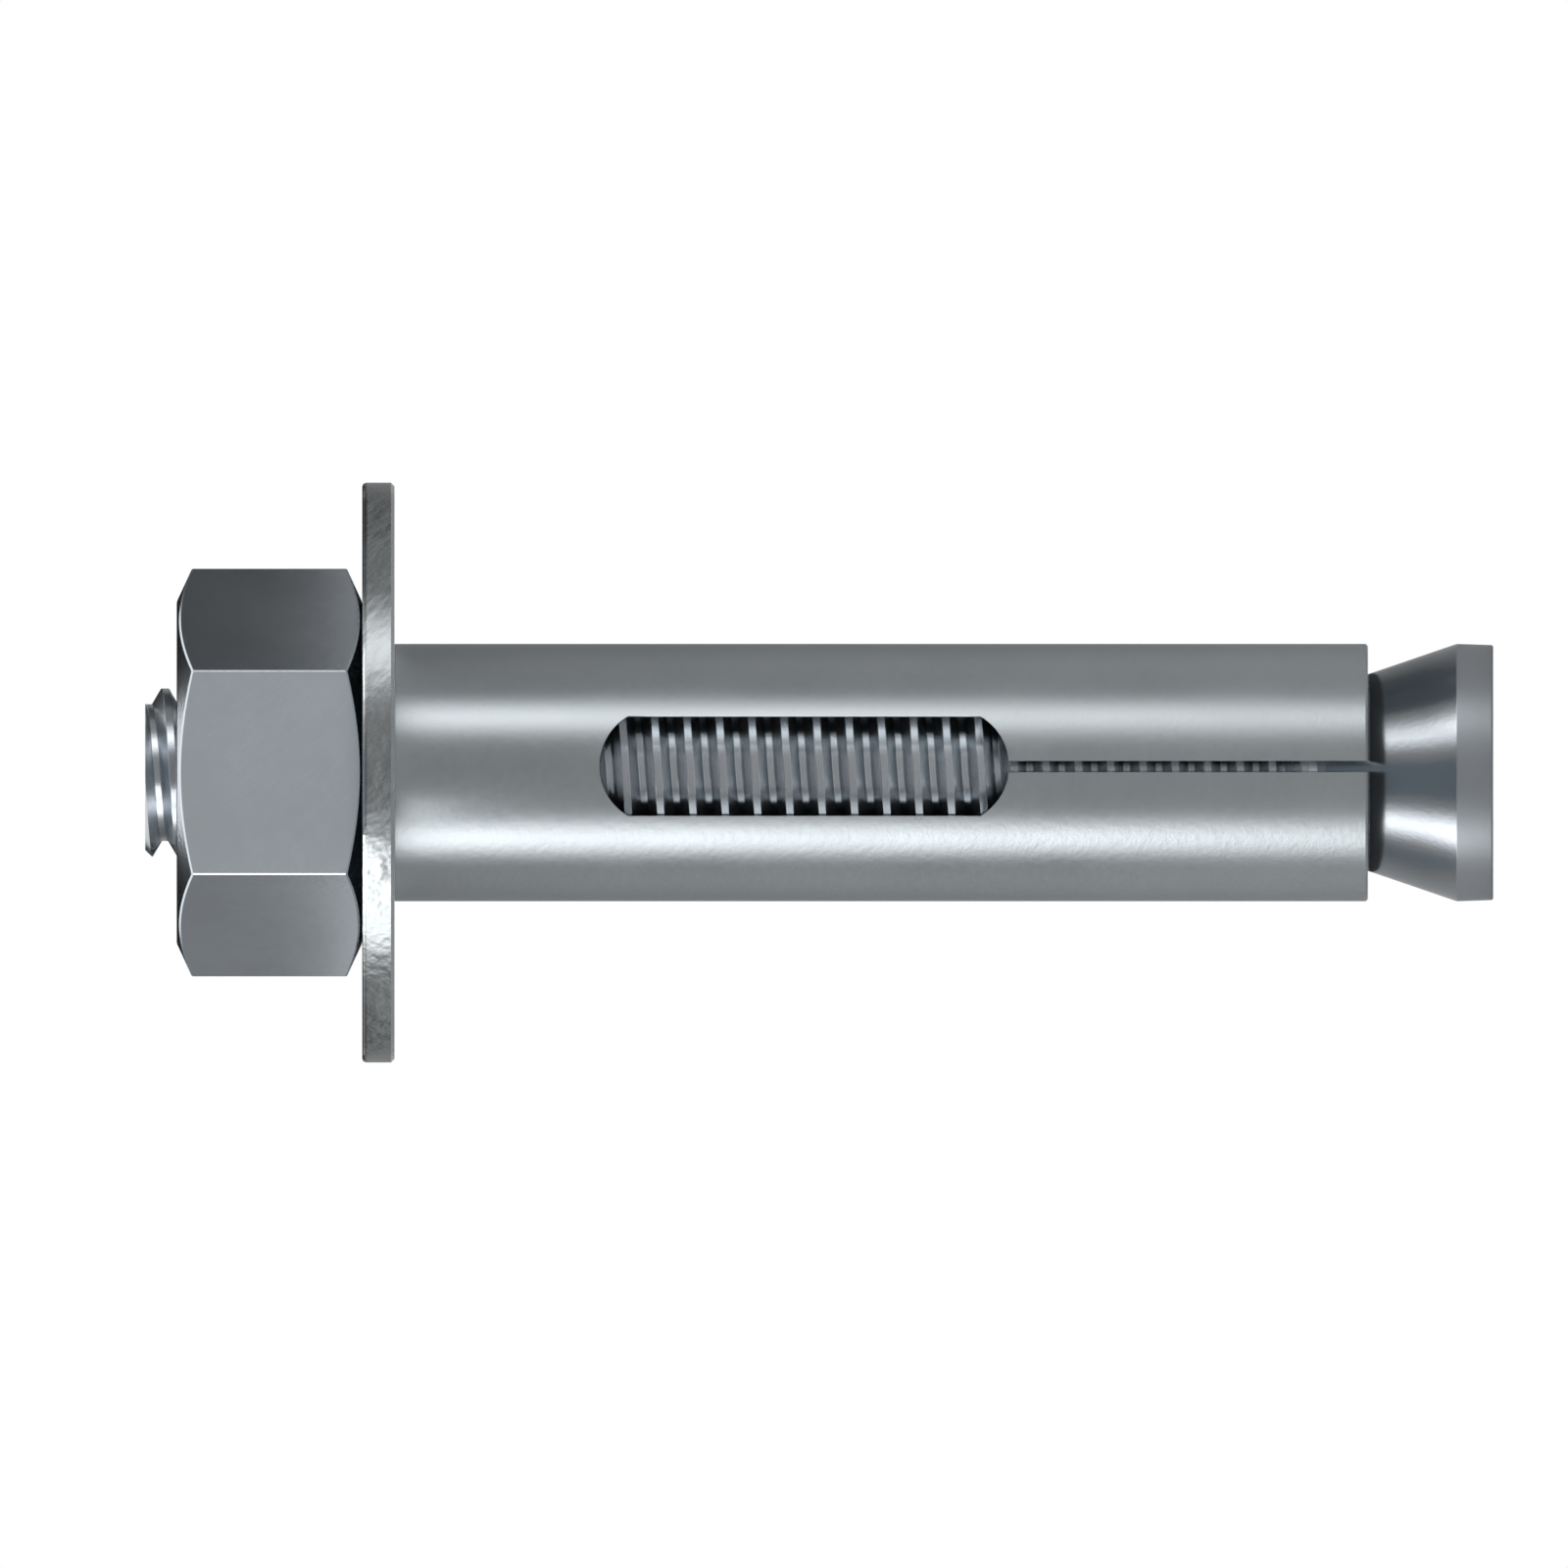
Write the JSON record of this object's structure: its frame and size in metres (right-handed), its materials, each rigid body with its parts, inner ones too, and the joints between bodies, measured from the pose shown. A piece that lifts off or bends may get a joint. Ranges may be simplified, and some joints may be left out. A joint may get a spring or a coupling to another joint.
{
  "type": "sleeve anchor",
  "caption": "Masonry anchor with a hex nut and flat washer over a slotted sleeve, expanded by a cone on the threaded stud that is drawn up into it.",
  "frame": {"origin": "on the anchor's axis, in the plane of the washer's bearing face, where the sleeve's upper end meets it", "axes": "+Z along the axis towards the nut and the thread's end; -Y is the front, where a flat of the nut and the sleeve's window face; the anchor stands on its cone"},
  "size_m": [0.0286, 0.0286, 0.0665],
  "materials": {
    "stud_zinc": "bright zinc plate over a rolled thread",
    "sleeve_zinc": "satin zinc plate over rolled sheet",
    "washer_zinc": "zinc plate over a punched sheared edge",
    "nut_zinc": "zinc plate over a cold-formed hexagon"
  },
  "bodies": {
    "stud": {"cone_stud": "stud_zinc"},
    "sleeve": {"expansion_sleeve": "sleeve_zinc"},
    "washer": {"flat_washer": "washer_zinc"},
    "nut": {"hex_nut": "nut_zinc"}
  },
  "joints": [
    {"name": "sleeve_turn", "type": "hinge", "parent": "stud", "child": "sleeve", "pos_m": [0, 0, 0], "axis": [0, 0, 1], "continuous": true},
    {"name": "washer_slide", "type": "slide", "parent": "stud", "child": "washer", "axis": [0, 0, 1], "range_m": [0, 0.00957]},
    {"name": "nut_turn", "type": "hinge", "parent": "washer", "child": "nut", "pos_m": [0, 0, 0], "axis": [0, 0, 1], "range_deg": [0, 2160]}
  ],
  "couplings": [
    {"joint": "washer_slide", "follows": "nut_turn", "m_per_rad": 0.00025385}
  ]
}
